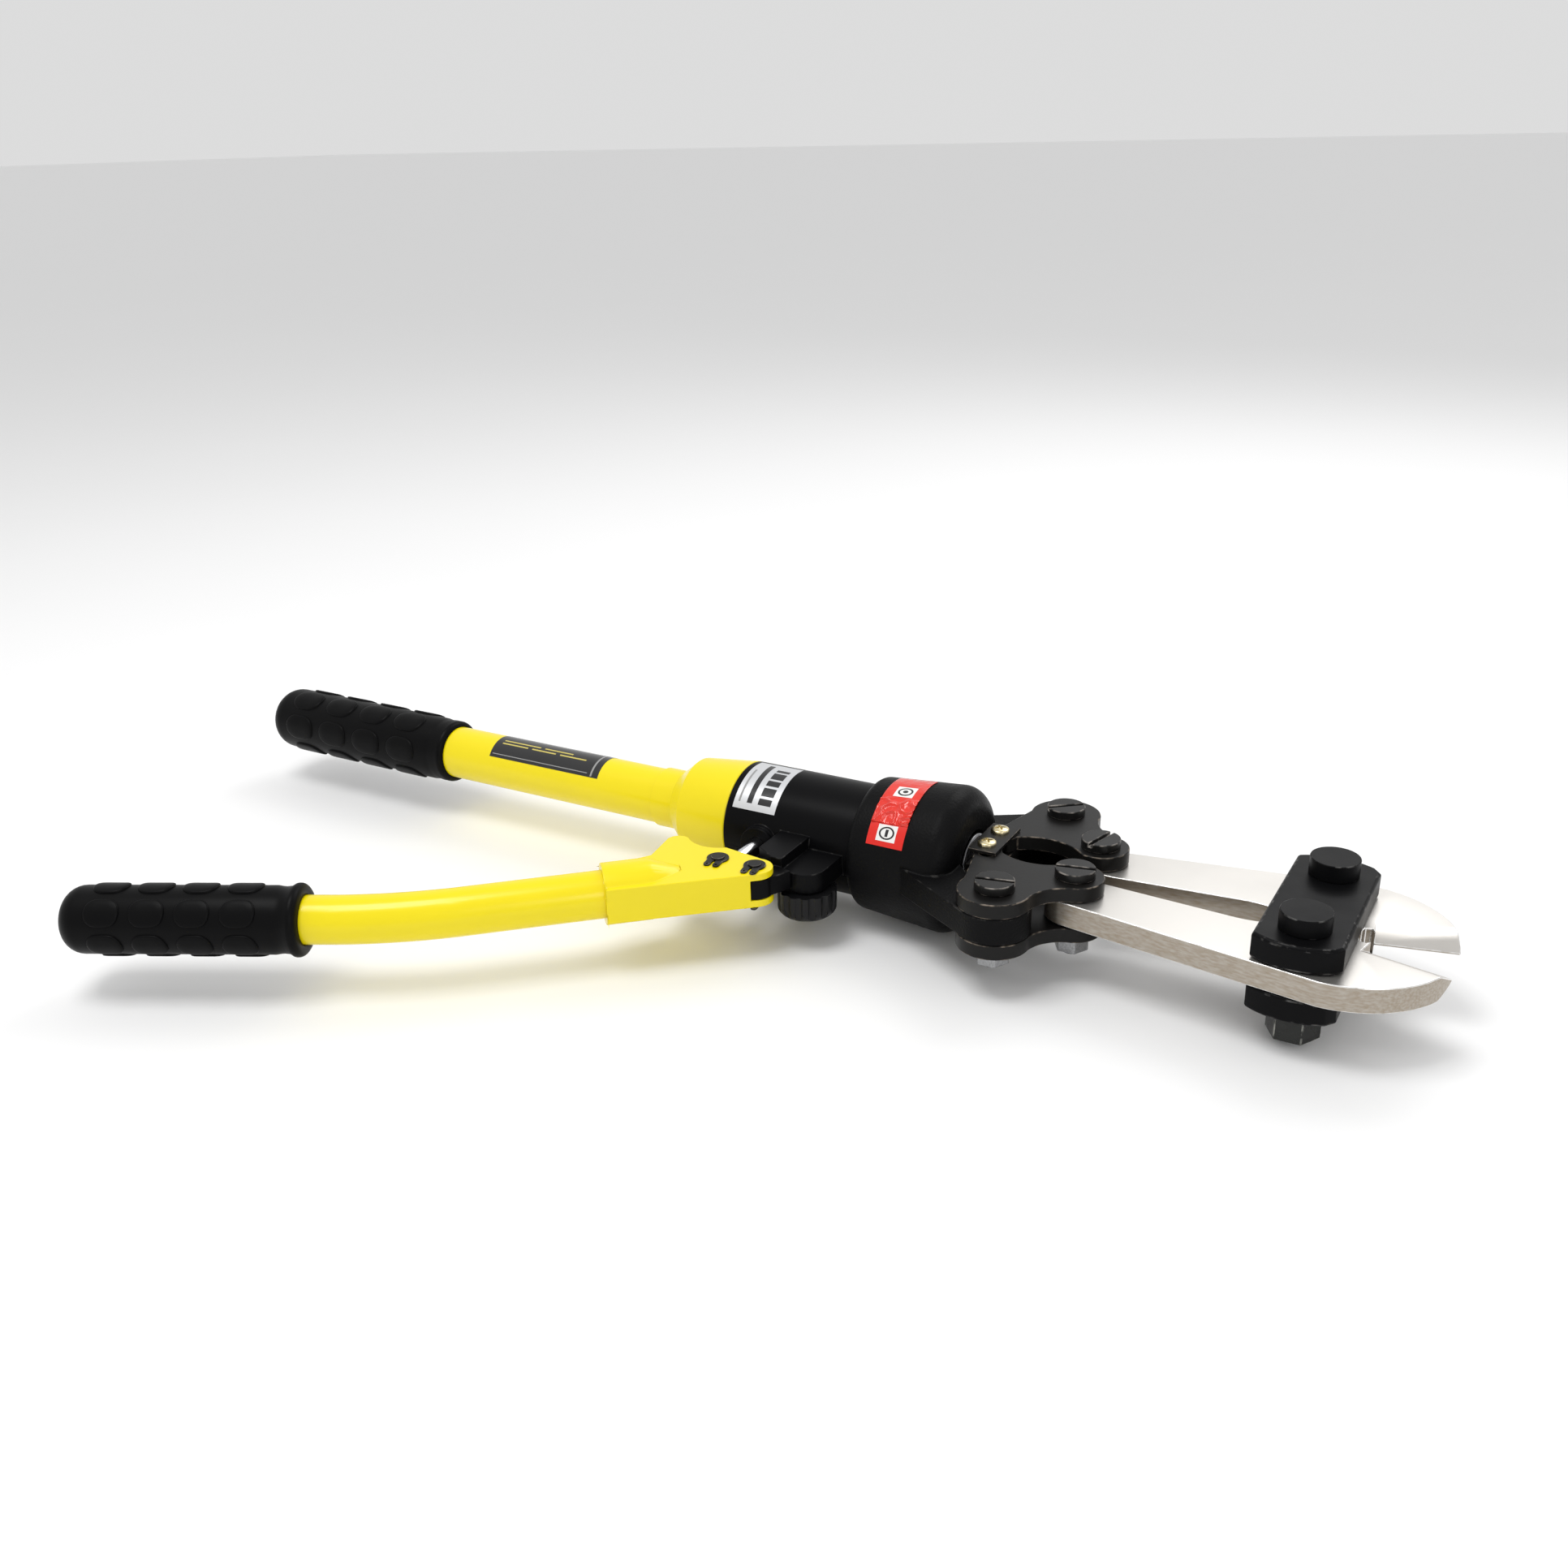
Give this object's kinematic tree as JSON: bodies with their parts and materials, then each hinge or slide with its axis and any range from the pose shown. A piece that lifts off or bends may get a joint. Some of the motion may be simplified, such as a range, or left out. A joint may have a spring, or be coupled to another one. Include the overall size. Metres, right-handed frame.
{
  "type": "rebar cutter",
  "caption": "Hand-pumped hydraulic rebar cutter with long rubber-gripped handles and a bolt-cutter style linked jaw.",
  "frame": {"origin": "middle of the bar throat between the open blades, on the mid-plane of the flat linkage", "axes": "+X along the handle towards the blade tips, +Z square to the flat linkage on the bolt-head side, -Y towards the pump lever"},
  "size_m": [0.6196, 0.2921, 0.0668],
  "materials": {
    "black_plate": "phosphated steel with worn edges",
    "blade_steel": "ground tool steel",
    "bolt_steel": "black oxide bolts",
    "bronze": "machined bronze",
    "cast_black": "rough cast, black enamel",
    "chrome": "polished chrome",
    "grip_rubber": "matte moulded rubber",
    "knob_black": "moulded, slightly glossy",
    "link_steel": "dark oxide steel",
    "satin_black": "satin black enamel",
    "seal_rubber": "smooth nitrile",
    "spring_steel": "spring steel",
    "yellow_paint": "gloss yellow enamel",
    "yellow_zinc": "yellow zinc",
    "zinc_nut": "bright zinc"
  },
  "bodies": {
    "pump": {"pump_body": "satin_black", "fork_head": "cast_black", "reservoir_neck": "yellow_paint", "handle_tube": "yellow_paint", "oil_bladder": "seal_rubber", "tube_end_plug": "satin_black", "handle_grip": "grip_rubber", "ram_guide_bush": "bronze", "cylinder_seal": "seal_rubber", "ear_bolts": "bolt_steel", "ear_nuts": "zinc_nut", "valve_balls": "chrome", "valve_plugs": "satin_black", "plunger_gland": "satin_black", "plunger_seal": "seal_rubber", "return_spring": "spring_steel"},
    "release_valve": {"release_knob": "knob_black", "release_spindle": "chrome"},
    "ram": {"ram_piston": "spring_steel", "piston_seal": "seal_rubber", "yoke": "black_plate", "yoke_pins": "chrome", "retaining_plate_top": "black_plate", "retaining_plate_bottom": "black_plate", "retaining_screws": "yellow_zinc"},
    "near_crank": {"near_crank_top_plate": "black_plate", "near_crank_bottom_plate": "black_plate", "near_crank_bolt": "bolt_steel", "near_crank_nut": "zinc_nut"},
    "far_crank": {"far_crank_top_plate": "black_plate", "far_crank_bottom_plate": "black_plate", "far_crank_bolt": "bolt_steel", "far_crank_nut": "zinc_nut"},
    "near_jaw": {"near_blade": "blade_steel"},
    "far_jaw": {"far_blade": "blade_steel"},
    "strap": {"top_link_plate": "link_steel", "bottom_link_plate": "link_steel", "pivot_bolts": "link_steel", "pivot_nuts": "zinc_nut"},
    "lever": {"lever_fork": "yellow_paint", "lever_tube": "yellow_paint", "lever_grip": "grip_rubber", "fulcrum_pin": "bolt_steel", "plunger_pin": "bolt_steel", "circlips": "bolt_steel"},
    "plunger": {"pump_plunger": "chrome"}
  },
  "joints": [
    {"name": "ram_slide", "type": "slide", "parent": "pump", "child": "ram", "axis": [1, 0, 0], "range_m": [0, 0.0237], "deforming": ["return_spring"]},
    {"name": "near_crank_hinge", "type": "hinge", "parent": "pump", "child": "near_crank", "pos_m": [-0.15, -0.042, 0], "axis": [0, 0, -1], "range_deg": [0, 36.81]},
    {"name": "far_crank_hinge", "type": "hinge", "parent": "pump", "child": "far_crank", "pos_m": [-0.15, 0.042, 0], "axis": [0, 0, 1], "range_deg": [0, 36.81]},
    {"name": "near_jaw_hinge", "type": "hinge", "parent": "near_crank", "child": "near_jaw", "pos_m": [-0.1248, -0.0161, 0], "axis": [0, 0, 1], "range_deg": [0, 49.01]},
    {"name": "strap_hinge", "type": "hinge", "parent": "near_jaw", "child": "strap", "pos_m": [-0.03, -0.026, 0], "axis": [0, 0, -1], "range_deg": [0, 12.21]},
    {"name": "far_jaw_hinge", "type": "hinge", "parent": "strap", "child": "far_jaw", "pos_m": [-0.03, 0.026, 0], "axis": [0, 0, -1], "range_deg": [0, 12.21]},
    {"name": "lever_hinge", "type": "hinge", "parent": "pump", "child": "lever", "pos_m": [-0.253, -0.061, 0], "axis": [0, 0, 1], "range_deg": [-30, 5]},
    {"name": "plunger_slide", "type": "slide", "parent": "pump", "child": "plunger", "axis": [0, 1, 0], "range_m": [-0.00155, 0.00918]},
    {"name": "release_turn", "type": "hinge", "parent": "pump", "child": "release_valve", "pos_m": [-0.238, -0.042, 0], "axis": [0, 0, 1], "range_deg": [0, 90]}
  ],
  "couplings": [
    {"joint": "near_crank_hinge", "follows": "ram_slide", "rad_per_m": 27.101},
    {"joint": "far_crank_hinge", "follows": "ram_slide", "rad_per_m": 27.101},
    {"joint": "near_jaw_hinge", "follows": "ram_slide", "rad_per_m": 36.086},
    {"joint": "strap_hinge", "follows": "ram_slide", "rad_per_m": 8.9844},
    {"joint": "far_jaw_hinge", "follows": "ram_slide", "rad_per_m": 8.9844},
    {"joint": "plunger_slide", "follows": "lever_hinge", "m_per_rad": -0.01744}
  ]
}
